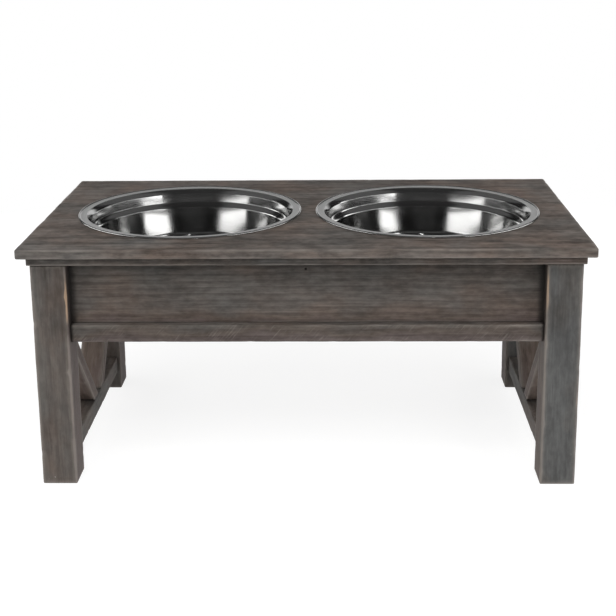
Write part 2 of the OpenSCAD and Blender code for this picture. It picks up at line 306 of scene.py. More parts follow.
def make_piece(name: str, surface: Surface, finish: bpy.types.Material) -> bpy.types.Object:
    """Turns a surface into a welded, smooth piece in the scene.

    Args:
        name: the piece's name.
        surface: its points, faces and values.
        finish: its material.

    Returns:
        The new object, at the origin.
    """
    mesh = bpy.data.meshes.new(name)
    faces = [tuple(face) for block in surface.faces for face in block.tolist()]
    mesh.from_pydata(surface.points.tolist(), [], faces)
    for key, value in surface.values.items():
        kind, slot = ("FLOAT_VECTOR", "vector") if value.ndim == 2 else ("FLOAT", "value")
        layer = mesh.attributes.new(key, kind, "POINT")
        layer.data.foreach_set(slot, value.astype(np.float32).ravel())
    shell = bmesh.new()
    shell.from_mesh(mesh)
    bmesh.ops.remove_doubles(shell, verts=shell.verts, dist=WELD)
    bmesh.ops.dissolve_degenerate(shell, edges=shell.edges, dist=WELD)
    bmesh.ops.recalc_face_normals(shell, faces=shell.faces)
    shell.to_mesh(mesh)
    shell.free()
    mesh.shade_smooth()
    mesh.materials.append(finish)
    piece = bpy.data.objects.new(name, mesh)
    bpy.context.scene.collection.objects.link(piece)
    LOG.info("%s: %d faces", name, len(mesh.polygons))
    return piece


def hang(node: str, piece: bpy.types.Object, body: str) -> None:
    """Hangs a piece on its body, in place of the solid that it stands for.

    Args:
        node: the solid's name.
        piece: the piece.
        body: the body that it moves with.
    """
    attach(piece, body)
    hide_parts(node)


class Graph:
    """A node tree with short calls to add nodes and join them."""

    def __init__(self, tree: bpy.types.NodeTree) -> None:
        """Starts from an empty tree."""
        self.tree = tree
        tree.nodes.clear()

    def add(self, kind: str, inputs: dict[Any, Any] | None = None, **settings: Any) -> bpy.types.Node:
        """Adds one node.

        Args:
            kind: the node's type, without its ShaderNode prefix.
            inputs: a value or a socket to join, for each input's name or number.
            settings: the node's own settings.

        Returns:
            The node.
        """
        node = self.tree.nodes.new("ShaderNode" + kind)
        for key, value in settings.items():
            setattr(node, key, value)
        for key, value in (inputs or {}).items():
            self.feed(node.inputs[key], value)
        return node

    def feed(self, socket: Socket, value: Any) -> None:
        """Joins a socket to another one, or sets its value.

        Args:
            socket: the input socket.
            value: a socket, a number, a colour or a vector.
        """
        if isinstance(value, bpy.types.NodeSocket):
            self.tree.links.new(value, socket)
        elif isinstance(value, tuple) and len(value) == 3 and socket.type == "RGBA":
            socket.default_value = (*value, 1.0)
        else:
            socket.default_value = value

    def math(self, operation: str, first: Any, second: Any = 0.0, third: Any = 0.0) -> Socket:
        """The result of one sum on numbers."""
        return self.add("Math", {0: first, 1: second, 2: third}, operation=operation).outputs[0]

    def times(self, first: Any, second: Any) -> Socket:
        """One number times another."""
        return self.math("MULTIPLY", first, second)

    def total(self, base: Any, *parts: tuple[Any, float]) -> Any:
        """A base plus each value times its weight.

        Args:
            base: a number or a socket.
            parts: pairs of a value and its weight.

        Returns:
            The sum.
        """
        for value, weight in parts:
            base = self.math("MULTIPLY_ADD", value, weight, base)
        return base

    def spot(self) -> Socket:
        """The place of the shaded point in its piece's own coordinates."""
        return self.add("TexCoord").outputs["Object"]

    def axes(self, vector: Socket) -> Any:
        """A vector's three numbers."""
        return self.add("SeparateXYZ", {0: vector}).outputs

    def attribute(self, name: str, output: str = "Fac") -> Socket:
        """A value that the piece's own mesh holds."""
        return self.add("Attribute", attribute_name=name).outputs[output]

    def ray(self, kind: Ray) -> Socket:
        """1 for rays of one kind and 0 for the others."""
        return self.add("LightPath").outputs[kind.value]

    def noise(self, vector: Socket, along: float, across: float, detail: float = 2.0,
              rough: float = 0.5) -> Socket:
        """Noise from 0 to 1, stretched by its number of cells along X and across it.

        Args:
            vector: the coordinates.
            along: cells to the metre along X.
            across: cells to the metre along Y and Z.
            detail: number of finer layers.
            rough: strength of the finer layers.

        Returns:
            The noise.
        """
        scale = (along, across, across)
        cells = self.add("VectorMath", {0: vector, 1: scale}, operation="MULTIPLY").outputs[0]
        inputs = {"Vector": cells, "Scale": 1.0, "Detail": detail, "Roughness": rough}
        return self.add("TexNoise", inputs).outputs[0]

    def ramp(self, value: Any, low: Any, high: Any, to_low: float = 0.0, to_high: float = 1.0) -> Socket:
        """A smooth step from one value to another between two limits."""
        inputs = {"Value": value, "From Min": low, "From Max": high, "To Min": to_low, "To Max": to_high}
        return self.add("MapRange", inputs, interpolation_type="SMOOTHSTEP").outputs[0]

    def band(self, value: Any, start: float, full: float, fading: float, end: float) -> Socket:
        """A smooth rise from 0 to 1 and back again."""
        return self.times(self.ramp(value, start, full), self.ramp(value, fading, end, 1.0, 0.0))

    def mix(self, factor: Any, first: Any, second: Any, blend: str = "MIX") -> Socket:
        """Two colours mixed."""
        node = self.add("Mix", {0: factor, 6: first, 7: second}, data_type="RGBA", blend_type=blend)
        return node.outputs[2]

    def layers(self, colour: Socket, *parts: tuple[Colour, Socket, float]) -> Socket:
        """Colours laid over another one in turn, each by a mask times a weight.

        Args:
            colour: the colour underneath.
            parts: a colour, its mask and its weight for each layer.

        Returns:
            The colour on top.
        """
        for over, mask, weight in parts:
            colour = self.mix(self.times(mask, weight), colour, over)
        return colour

    def effect(self, name: str, **inputs: Any) -> Any:
        """Places a shared group and returns its outputs."""
        return self.add("Group", inputs, node_tree=bpy.data.node_groups[name]).outputs

    def bump(self, height: Socket, strength: float, depth: float) -> Socket:
        """A normal bent by a height."""
        return self.add("Bump", {"Height": height, "Strength": strength, "Distance": depth}).outputs[0]

    def close(self, inputs: dict[str, Any]) -> None:
        """Ends a finish with one shader."""
        shader = self.add("BsdfPrincipled", inputs).outputs[0]
        self.add("OutputMaterial", {"Surface": shader})


def new_finish(name: str) -> tuple[bpy.types.Material, Graph]:
    """A new material and its empty node tree.

    Args:
        name: the material's name.

    Returns:
        The material and a graph on its tree.
    """
    finish = bpy.data.materials.new(name)
    finish.use_nodes = True
    return finish, Graph(finish.node_tree)


def start_effect(name: str, inputs: dict[str, str], outputs: list[str]) -> tuple[Graph, Any, Any]:
    """Begins a shader group that several finishes share.

    Args:
        name: the group's name.
        inputs: the kind of each input socket, by name.
        outputs: names of the outputs, all numbers.

    Returns:
        The group's graph, the values put into it and the sockets for its results.
    """
    tree = bpy.data.node_groups.new(name, "ShaderNodeTree")
    for key, kind in inputs.items():
        tree.interface.new_socket(key, in_out="INPUT", socket_type="NodeSocket" + kind)
    for key in outputs:
        tree.interface.new_socket(key, in_out="OUTPUT", socket_type="NodeSocketFloat")
    graph = Graph(tree)
    source = tree.nodes.new("NodeGroupInput")
    target = tree.nodes.new("NodeGroupOutput")
    return graph, source.outputs, target.inputs


def build_wood_grain() -> None:
    """Solid wood: growth rings about a pith, fibres and pores drawn out along it, and slow blotches."""
    outputs = ["Fibre", "Streak", "Mottle", "Ring", "Pore", "Blotch", "Hue"]
    graph, source, target = start_effect("WoodGrain", {"Vector": "Vector"}, outputs)
    rings_per_metre, ring_swirl = 135.0, 0.016
    grain = source["Vector"]
    axes = graph.axes(grain)
    squares = [graph.math("POWER", axis, 2.0) for axis in (axes[1], axes[2])]
    spread = graph.math("SQRT", graph.math("ADD", *squares))
    distance = graph.total(spread, (graph.noise(grain, 3.0, 17.0, 3.0), ring_swirl))
    year = graph.math("FRACT", graph.times(distance, rings_per_metre))
    results = {
        "Fibre": graph.noise(grain, 9.0, 420.0, 5.0, 0.66),
        "Streak": graph.noise(grain, 42.0, 240.0, 4.0, 0.62),
        "Mottle": graph.noise(grain, 95.0, 170.0, 3.0, 0.6),
        "Ring": graph.band(year, 0.35, 0.86, 0.9, 1.0),
        "Pore": graph.ramp(graph.noise(grain, 26.0, 1300.0), 0.6, 0.74),
        "Blotch": graph.noise(grain, 12.0, 34.0, 4.0, 0.6),
        "Hue": graph.noise(grain, 10.0, 19.0, 3.0, 0.55),
    }
    for key, socket in results.items():
        graph.feed(target[key], socket)


def build_edge_wear() -> None:
    """Wear where a broken noise runs high: a pale rubbed line by an edge, and bare wood where handled."""
    inputs = {"Vector": "Vector", "Edge": "Float", "Handled": "Float", "Amount": "Float"}
    graph, source, target = start_effect("EdgeWear", inputs, ["Rubbed", "Bare"])
    handled = source["Handled"]
    broken = graph.noise(source["Vector"], 26.0, 110.0, 4.0, 0.65)
    patch = graph.noise(source["Vector"], 9.0, 24.0)
    level = graph.total(0.0, (patch, 0.4), (broken, 0.6), (source["Amount"], 0.2))
    rubbed = graph.times(graph.ramp(level, 0.45, 0.8), source["Edge"])
    graph.feed(target["Rubbed"], graph.math("MAXIMUM", rubbed, graph.times(handled, 0.6)))
    torn = graph.total(-0.55, (broken, 1.1), (handled, 1.0))
    graph.feed(target["Bare"], graph.times(graph.ramp(torn, 0.3, 0.75), handled))


def build_scuffs() -> None:
    """Small pale scuffs and dust, thickest near the floor."""
    inputs = {"Vector": "Vector", "Height": "Float"}
    graph, source, target = start_effect("Scuffs", inputs, ["Speck", "Dust"])
    dusty_height = 0.07
    near_floor = graph.ramp(source["Height"], 0.0, dusty_height, 1.0, 0.0)
    speck = graph.ramp(graph.noise(source["Vector"], 190.0, 330.0, 3.0, 0.7), 0.71, 0.78)
    haze = graph.ramp(graph.noise(source["Vector"], 30.0, 60.0, 4.0, 0.6), 0.45, 0.8)
    graph.feed(target["Speck"], graph.times(speck, graph.total(0.12, (near_floor, 0.9))))
    graph.feed(target["Dust"], graph.times(haze, near_floor))


def build_painted_seam_shade() -> None:
    """Painted shade where two pieces meet: full at the seam, gone at its reach, with a broken edge."""
    graph, source, target = start_effect("PaintedSeamShade", {"Vector": "Vector", "Seam": "Float"}, ["Dark"])
    broken = graph.noise(source["Vector"], 60.0, 160.0, 3.0, 0.6)
    share = graph.total(source["Seam"], (graph.math("SUBTRACT", broken, 0.5), 0.5))
    graph.feed(target["Dark"], graph.ramp(share, 0.1, 1.0, 1.0, 0.0))


def build_spun_lines() -> None:
    """Fine lines round a spun bowl: noise that is very short across the lines and long along them."""
    graph, source, target = start_effect("SpunLines", {"Vector": "Vector"}, ["Line", "Smear"])
    graph.feed(target["Line"], graph.noise(source["Vector"], 2600.0, 3.0, 3.0, 0.7))
    graph.feed(target["Smear"], graph.noise(source["Vector"], 40.0, 1.6, 3.0, 0.55))


@dataclass(frozen=True)
class StainedWood:
    """Pine under a thin dark grey-brown stain, rubbed pale along its edges."""

    name: str
    dark: Colour = (0.038, 0.032, 0.029)
    light: Colour = (0.173, 0.156, 0.144)
    pore: Colour = (0.026, 0.022, 0.02)
    rubbed: Colour = (0.29, 0.26, 0.234)
    # Colour of the painted shade where a stick meets its neighbours
    seam_shade: Colour = (0.013, 0.011, 0.01)
    bare: Colour = (0.44, 0.30, 0.20)
    dust: Colour = (0.30, 0.29, 0.28)
    speck: Colour = (0.46, 0.44, 0.42)
    tint_share: float = 0.85
    wear: float = 1.0
    saw_marks: float = 0.0
    shine: float = 0.28

    def material(self) -> bpy.types.Material:
        """Builds the finish, which reads the stick's grain, edge, handled, warmth and seam values.

        Returns:
            The material.
        """
        finish, graph = new_finish(self.name)
        grain = graph.attribute("grain", "Vector")
        wood = graph.effect("WoodGrain", Vector=grain)
        worn = graph.effect("EdgeWear", Vector=grain, Edge=graph.attribute("edge"),
                            Handled=graph.attribute("handled"), Amount=self.wear)
        scuff = graph.effect("Scuffs", Vector=grain, Height=graph.axes(graph.spot())[2])
        # Painted shade near the seams with neighbouring pieces, darkest at each seam
        stain = graph.effect("PaintedSeamShade", Vector=grain, Seam=graph.attribute("seam"))

        noises = [(graph.ramp(wood[key], 0.3, 0.7), share) for key, share in TONE_SHARES.items()]
        colour = graph.mix(graph.total(0.0, *noises), self.dark, self.light)
        colour = graph.layers(colour, (self.dark, wood["Ring"], 0.3), (self.pore, wood["Pore"], 0.4))
        hue = graph.total(wood["Hue"], (graph.attribute("warmth"), 0.3))
        colour = graph.mix(self.tint_share, colour, self.tints(graph, hue), "MULTIPLY")
        if self.saw_marks:
            colour = graph.layers(colour, (self.rubbed, self.saw_lines(graph, grain), self.saw_marks))
        # Rubbed edges, painted seam shade, bare wood, dust and specks, laid on in turn
        colour = graph.layers(colour, (self.rubbed, worn["Rubbed"], 0.6), (self.seam_shade, stain["Dark"], 0.9),
                              (self.bare, worn["Bare"], 0.85), (self.dust, scuff["Dust"], 0.18),
                              (self.speck, scuff["Speck"], 1.0))

        rough = graph.total(0.78, (wood["Fibre"], -0.2), (worn["Rubbed"], -0.08))
        relief = graph.total(0.0, (wood["Ring"], 0.3), (wood["Fibre"], 0.55), (wood["Pore"], -0.5),
                             (worn["Bare"], -0.4))
        graph.close({"Base Color": colour, "Roughness": rough, "Normal": graph.bump(relief, 0.45, 0.0005),
                     "Specular IOR Level": self.shine})
        return finish

    @staticmethod
    def tints(graph: Graph, hue: Socket) -> Socket:
        """Slow drift of the stain from a cool grey through neutral to a brown and a purple grey.

        Args:
            graph: the finish's graph.
            hue: place on the drift, from 0 to 1.

        Returns:
            The tint.
        """
        node = graph.add("ValToRGB", {"Fac": hue})
        stops = {0.24: (0.88, 1.0, 1.08), 0.4: (0.97, 1.01, 1.01), 0.52: (1.03, 1.0, 0.97),
                 0.66: (1.14, 0.98, 0.88), 0.82: (1.12, 0.95, 0.95)}
        elements = node.color_ramp.elements
        while len(elements) < len(stops):
            elements.new(0.5)
        for element, (position, colour) in zip(elements, stops.items()):
            element.position = position
            element.color = (*colour, 1.0)
        return node.outputs[0]

    @staticmethod
    def saw_lines(graph: Graph, grain: Socket) -> Socket:
        """Slanted saw lines across the grain, broken up by noise.

        Args:
            graph: the finish's graph.
            grain: the wood's own coordinates.

        Returns:
            The mask of the lines.
        """
        plane = graph.add("CombineXYZ")
        for number, slant in enumerate([(0.62, -0.55, -0.55), (0.62, 0.55, 0.55)]):
            dot = graph.add("VectorMath", {0: grain, 1: slant}, operation="DOT_PRODUCT")
            graph.feed(plane.inputs[number], dot.outputs["Value"])
        line = graph.noise(plane.outputs[0], 800.0, 45.0, 3.0, 0.6)
        gap = graph.noise(grain, 25.0, 60.0)
        return graph.times(graph.ramp(line, 0.5, 0.7), graph.ramp(gap, 0.4, 0.6))


@dataclass(frozen=True)
class BareWood:
    """Unfinished pale wood for pieces inside the stand, on the solids' own coordinates."""

    name: str
    grain: Grain
    dark: Colour = (0.43, 0.30, 0.18)
    light: Colour = (0.60, 0.46, 0.30)
    ring: Colour = (0.36, 0.22, 0.12)
    pore: Colour = (0.25, 0.16, 0.09)
    heart: Triple = (0.3, 0.06, 0.04)
    shine: float = 0.3

    def material(self) -> bpy.types.Material:
        """Builds the finish, with the grain along the given axis.

        Returns:
            The material.
        """
        finish, graph = new_finish(self.name)
        quarter = math.pi / 2
        turn = {Grain.X: (0.0, 0.0, 0.0), Grain.Y: (0.0, 0.0, -quarter), Grain.Z: (0.0, quarter, 0.0)}
        inputs = {"Vector": graph.spot(), "Rotation": turn[self.grain], "Location": self.heart}
        wood = graph.effect("WoodGrain", Vector=graph.add("Mapping", inputs).outputs[0])
        fibre = wood["Fibre"]
        colour = graph.mix(graph.ramp(fibre, 0.3, 0.7), self.dark, self.light)
        colour = graph.layers(colour, (self.ring, wood["Ring"], 0.5), (self.pore, wood["Pore"], 0.35))
        graph.close({"Base Color": colour, "Roughness": graph.total(0.85, (fibre, -0.15)),
                     "Normal": graph.bump(fibre, 0.3, 0.0004), "Specular IOR Level": self.shine})
        return finish


@dataclass(frozen=True)
class SpunSteel:
    """Stainless sheet: mirror polished inside the bowl and satin on the lip, with lines round it."""

    name: str = "spun_stainless"
    bright: Colour = (0.66, 0.66, 0.655)
    dull: Colour = (0.50, 0.50, 0.495)
    grazing: Colour = (0.6, 0.6, 0.6)
    mirror_roughness: float = 0.075
    satin_roughness: float = 0.4
    satin_scatter: float = 0.4

    def material(self) -> bpy.types.Material:
        """Builds the finish, which reads the bowl's spin and satin values.

        Returns:
            The material.
        """
        finish, graph = new_finish(self.name)
        lines = graph.effect("SpunLines", Vector=graph.attribute("spin", "Vector"))
        line = lines["Line"]
        smear = graph.ramp(lines["Smear"], 0.35, 0.7)
        satin = graph.attribute("satin")
        colour = graph.mix(graph.total(0.0, (smear, 0.25), (line, 0.35)), self.bright, self.dull)
        span = self.satin_roughness - self.mirror_roughness
        rough = graph.total(self.mirror_roughness, (satin, span), (smear, 0.035), (line, 0.03))
        height = graph.times(line, graph.total(0.2, (satin, 0.8)))
        graph.close({"Base Color": colour, "Roughness": rough, "Normal": graph.bump(height, 0.12, 0.00005),
                     "Metallic": graph.total(1.0, (satin, -self.satin_scatter)),
                     "Specular Tint": self.grazing})
        return finish


@dataclass(frozen=True)
class PlatedSteel:
    """Plated or blackened steel of screws and brads, cloudy and a little pitted."""

    name: str
    clear: Colour
    cloudy: Colour
    roughness: float

    def material(self) -> bpy.types.Material:
        """Builds the finish on the solids' own coordinates.

        Returns:
            The material.
        """
        finish, graph = new_finish(self.name)
        spot = graph.spot()
        cloud = graph.noise(spot, 700.0, 700.0, 4.0, 0.6)
        pit = graph.ramp(graph.noise(spot, 2600.0, 2600.0), 0.6, 0.75)
        colour = graph.mix(graph.ramp(cloud, 0.35, 0.7), self.clear, self.cloudy)
        graph.close({"Base Color": colour, "Roughness": graph.total(self.roughness, (cloud, 0.25)),
                     "Normal": graph.bump(pit, 0.25, 0.00006), "Metallic": 1.0})
        return finish


@dataclass(frozen=True)
class Handled:
    """A length of one long edge that hands or paws have rubbed bare.

    Corners run round the stick: 0 is on the high side of both cross axes, 1 on the low side of the
    first one, 2 on the low side of both and 3 on the low side of the second one.
    """

    corner: int
    centre: float
    spread: float
    amount: float = 1.0


@dataclass
class Stick:
    """A straight stick of wood: a worn, rounded rectangle along the grain, closed at both ends.

    Its seams hold the reach of the painted shade that darkens it near each neighbour, by the neighbour's
    node.
    """

    node: str
    grain: Grain
    seed: int
    warmth: float = 0.0
    edge_radius: float = 0.0014
    chips: float = 2.2
    station_gap: float = 0.005
    warm_foot: float = 0.0
    foot_fade: float = 0.014
    # Browner, darker tint on the inner face, as painted shade
    inside_shade_tint: float = 0.0
    handled: tuple[Handled, ...] = ()
    seams: dict[str, float] = field(default_factory=dict)

    def __post_init__(self) -> None:
        """Reads the stick's own box."""
        self.low, self.high = node_box(self.node)
        self.middle = (self.low + self.high) / 2
        self.half = (self.high - self.low) / 2
        self.along = self.grain.value
        self.cross = [(self.along + 1) % 3, (self.along + 2) % 3]

    def section(self, station: Array) -> tuple[Array, Array]:
        """Middle and half size on the two cross axes at each station, from the stick's own middle."""
        size = np.broadcast_to(self.half[self.cross], (len(station), 2))
        return np.zeros(size.shape), size

    def stations(self) -> Array:
        """Stations from one end to the other.

        At an end the ring first grows out from the pole over the flat end, then turns the edge on a
        quarter circle: station = half - r + r sin a, inset = r (1 - cos a).

        Returns:
            Rows of places along the stick, insets of the ring, shares of its full size and closeness to
            an end's edge.
        """
        half, r = self.half[self.along], self.edge_radius
        swing = QUARTER[::-1]
        end = table((half, r, END_SHARES, END_EDGES),
                    (half - r + r * np.sin(swing), r * (1 - np.cos(swing)), 1, 1),
                    (half - r - END_STEPS, 0, 1, np.exp(-END_STEPS / EDGE_FADE)))
        inner = end[-1, 0]
        count = max(2, math.ceil(2 * inner / self.station_gap))
        body = table((np.linspace(-inner, inner, count)[1:-1], 0, 1, 0))
        return np.concatenate([end * [-1, 1, 1, 1], body, end[::-1]]).T

    def surface(self) -> Surface:
        """The whole stick: rounded rectangles by station, each drawn in by its inset and shrunk to its share.

        Returns:
            The closed surface.
        """
        station, inset, share, end_edge = self.stations()
        middle, size = self.section(station)
        seeds = range(10 * self.seed, 10 * self.seed + 4)
        radius = np.stack([worn_radius(station, seed, self.edge_radius, self.chips) for seed in seeds], -1)
        radius = np.minimum(radius, WIDEST_CORNER * size.min(-1)[:, None])
        radius = np.clip(radius - inset[:, None], FINEST_CORNER, None)
        ring, edge = rounded_ring(size[:, 0] - inset, size[:, 1] - inset, radius)
        edge = np.maximum(edge * (share == 1)[:, None], end_edge[:, None])
        rows, columns = edge.shape
        body = raised(ring * share[:, None, None], station[:, None])[:, [2, 0, 1]]
        own = np.concatenate([body, np.outer(station[[0, -1]], [1, 0, 0])])
        shift = np.concatenate([np.repeat(middle, columns, 0), middle[[0, -1]]])
        points = np.empty(own.shape)
        points[:, self.along] = own[:, 0]
        points[:, self.cross] = own[:, 1:] + shift
        points += self.middle
        values = {
            "grain": own + self.heart(),
            "edge": np.append(edge.ravel(), [0, 0]),
            "handled": np.append(self.rubs(station, edge).ravel(), [0, 0]),
            "warmth": self.warmths(points),
            "seam": self.seam_shares(points),
        }
        return Surface(points, tube_faces(rows, columns), values)

    def warmths(self, points: Array) -> Array:
        """How brown each point is: more at the foot, and on the face turned to the stand's middle, where the
        browner, darker tint is painted shade.

        Args:
            points: the stick's points.

        Returns:
            One value for each point.
        """
        foot = np.exp(-(points[:, 2] - self.low[2]) / self.foot_fade)
        inner_face = np.abs(self.middle[0]) - self.half[0]
        inside = np.abs(points[:, 0]) < inner_face + self.edge_radius
        # The inner face's browner, darker tint is painted shade
        return self.warmth + self.warm_foot * foot + self.inside_shade_tint * inside

    def seam_shares(self, points: Array) -> Array:
        """Distance from each point to the nearest neighbour's box, as a share of that seam's reach.

        Args:
            points: the stick's points.

        Returns:
            One value for each point.
        """
        nearest = np.full(len(points), FAR_FROM_SEAM)
        for node, reach in self.seams.items():
            low, high = node_box(node)
            gap = np.maximum(np.maximum(low - points, points - high), 0)
            nearest = np.minimum(nearest, np.linalg.norm(gap, axis=1) / reach)
        return nearest

    def rubs(self, station: Array, edge: Array) -> Array:
        """How far each point was rubbed: a bell along each handled edge, times closeness to that edge.

        Args:
            station: places along the stick.
            edge: closeness to an edge, by station and place on the ring.

        Returns:
            Values from 0 to 1, laid out as the closeness is.
        """
        rubbed = np.zeros(edge.shape)
        per_side = edge.shape[1] // 4
        reach = len(FLAT_CUTS) // 2
        for rub in self.handled:
            first = rub.corner * per_side
            near = np.arange(first - reach, first + CORNER_STEPS + 1 + reach) % edge.shape[1]
            bell = rub.amount * np.exp(-((station - rub.centre) / rub.spread) ** 2)
            rubbed[:, near] = np.maximum(rubbed[:, near], bell[:, None] * edge[:, near])
        return rubbed

    def heart(self) -> Array:
        """Where this stick was cut from its tree: a shift along it and away from the pith."""
        rng = np.random.default_rng(self.seed + 900)
        return np.array([rng.uniform(0, 9), rng.uniform(-0.05, 0.05), rng.uniform(0.05, 0.13)])


class Brace(Stick):
    """A slanted stick, cut upright where its outer edge meets the leg."""

    def section(self, station: Array) -> tuple[Array, Array]:
        """Middle and half size at each station.

        Both edges lean with the line from the solid's inner foot to its inner head, and the outer one
        stops at the leg: outer = min(inner + foot width, leg).

        Args:
            station: places along the stick, from its own middle.

        Returns:
            Middle and half size on X and Y, by station.
        """
        spots = node_points(self.node)
        side = math.copysign(1, self.middle[1])
        foot = side * spots[spots[:, 2] < self.low[2] + WELD, 1]
        head = side * spots[spots[:, 2] > self.high[2] - WELD, 1]
        up = (station + self.half[2]) / (2 * self.half[2])
        inner = foot.min() + up * (head.min() - foot.min())
        outer = np.minimum(inner + foot.max() - foot.min(), head.max())
        size = np.stack([np.full(len(station), self.half[0]), (outer - inner) / 2], -1)
        middle = np.stack([np.zeros(len(station)), side * (outer + inner) / 2 - self.middle[1]], -1)
        return middle, size


@dataclass
class TopBoard:
    """The top board: two mirrored halves, each with lines from its hole out to the board's outline."""

    node: str = "top_board"
    seed: int = 77
    hole_ease: float = 0.0008
    hole_wear: float = 0.5
    bore_wear: float = 0.4
    edge_depth: float = 0.003
    edge_radius: float = 0.0012
    edge_chips: float = 1.2
    border_wear: float = 0.6
    wear_inset: float = 0.001
    gap: float = 0.006
    warmth: float = 0.05
    grain_stretch: Triple = (1.0, 0.6, 1.0)
    heart: Triple = (3.1, 0.02, -0.17)
    cuts: tuple[float, ...] = (0.0, 0.015, 0.05, 0.13, 0.3, 0.52, 0.74, 0.88, 0.955, 0.985, 1.0)

    def __post_init__(self) -> None:
        """Reads the board's own box, and the holes' places from the bowls that fill them."""
        self.low, self.high = node_box(self.node)
        bowl_low, bowl_high = node_box("bowl_right")
        self.bowl_x = (bowl_low[0] + bowl_high[0]) / 2
        plan = node_points(self.node)[:, :2] - [self.bowl_x, 0]
        self.hole_radius = np.linalg.norm(plan, axis=1).min()
        self.flat_x = self.high[0] - self.edge_depth
        self.flat_y = self.high[1] - self.edge_depth

    def side(self, start: tuple[float, float], end: tuple[float, float]) -> Array:
        """Evenly spaced points along one side of the outline, without its last point.

        Args:
            start: X and Y of the first point.
            end: X and Y of the last point.

        Returns:
            X and Y of each point.
        """
        start, end = np.array(start), np.array(end)
        count = math.ceil(np.linalg.norm(end - start) / self.gap)
        return start + (end - start) * (np.arange(count) / count)[:, None]

    def half_outline(self) -> Array:
        """The right half's flat, anticlockwise: front, right end, back, and the middle line.

        Returns:
            X and Y of each point.
        """
        x, y = self.flat_x, self.flat_y
        corners = [(0.0, -y), (x, -y), (x, y), (0.0, y), (0.0, -y)]
        return np.concatenate([self.side(a, b) for a, b in zip(corners, corners[1:])])

    def flats(self, mirror: int) -> Surface:
        """Upper and lower face of one half: straight lines from the hole's eased edge to the outline.

        Args:
            mirror: 1 for the right half and -1 for the left half.

        Returns:
            Both faces and the hole's wall between them.
        """
        outline = self.half_outline()
        centre = np.array([self.bowl_x, 0])
        spoke = outline - centre
        spoke = spoke / np.linalg.norm(spoke, axis=1)[:, None]
        start = centre + (self.hole_radius + self.hole_ease) * spoke
        flat = start + np.array(self.cuts)[:, None, None] * (outline - start)
        outer = np.minimum(self.flat_x - flat[..., 0], self.flat_y - np.abs(flat[..., 1])) + self.wear_inset
        inner = np.linalg.norm(flat - centre, axis=-1) - self.hole_radius - self.hole_ease
        edge = np.maximum(np.exp(-outer / EDGE_FADE), self.hole_wear * np.exp(-inner / EDGE_FADE))
        bore_r = self.hole_radius + self.hole_ease * (1 - np.sin(QUARTER))
        bore_r = np.concatenate([bore_r, bore_r[::-1]])
        drop = self.hole_ease * (1 - np.cos(QUARTER))
        bore_z = np.concatenate([self.high[2] - drop, self.low[2] + drop[::-1]])
        wall = centre + bore_r[:, None, None] * spoke
        faces = ((flat, self.high[2], edge), (flat, self.low[2], edge),
                 (wall, bore_z[:, None], self.bore_wear))
        return Surface.joined([edged_rows(plan * [mirror, 1], z, near) for plan, z, near in faces])

    def border(self) -> Surface:
        """The worn border: a profile of two arcs and a flat, carried round the whole outline.

        At each place the profile leaves the flat by depth - r, turns down on a quarter circle of the
        worn radius r, runs down the side and turns in again.

        Returns:
            The border, open at the two flats.
        """
        x, y = self.flat_x, self.flat_y
        corners = [(-x, -y), (x, -y), (x, y), (-x, y), (-x, -y)]
        path, facing = [], []
        for number, (start, end) in enumerate(zip(corners, corners[1:])):
            middle = ((start[0] + end[0]) / 2, (start[1] + end[1]) / 2)
            run = np.concatenate([self.side(start, middle), self.side(middle, end), [end]])
            angle = (number - 1) * np.pi / 2
            path += [run, np.repeat([end], CORNER_STEPS, 0)]
            facing += [np.full(len(run), angle), angle + QUARTER[1:]]
        path, facing = np.concatenate(path), np.concatenate(facing)
        out = np.stack([np.cos(facing), np.sin(facing)], -1)
        at = distances(path + out * self.edge_depth)
        upper, lower = (np.minimum(worn_radius(at, seed, self.edge_radius, self.edge_chips), self.edge_depth)
                        for seed in (self.seed, self.seed + 1))
        swing = QUARTER[:, None]
        back = swing[::-1]
        cuts = FLAT_CUTS[:, None]
        still = np.zeros((1, len(at)))
        thick = self.high[2] - self.low[2]
        tall = thick - upper - lower
        fade = np.exp(-np.minimum(cuts, 1 - cuts) * tall / EDGE_FADE)
        profile = table(
            (still, 0, self.border_wear),
            (self.edge_depth - upper + upper * np.sin(swing), upper * (1 - np.cos(swing)), 1),
            (self.edge_depth, upper + cuts * tall, fade),
            (self.edge_depth - lower + lower * np.sin(back), thick - lower * (1 - np.cos(back)), 1),
            (still, thick, self.border_wear))
        reach, depth, edge = np.moveaxis(profile, -1, 0)
        return edged_rows(path + reach[..., None] * out, self.high[2] - depth, edge)

    def surface(self) -> Surface:
        """Both halves and the border in one, with grain along X.

        Returns:
            The whole board.
        """
        whole = Surface.joined([self.flats(1), self.flats(-1), self.border()])
        count = len(whole.points)
        whole.values["grain"] = whole.points * self.grain_stretch + self.heart
        whole.values["warmth"] = np.full(count, self.warmth)
        whole.values["handled"] = np.zeros(count)
        whole.values["seam"] = np.full(count, FAR_FROM_SEAM)
        return whole


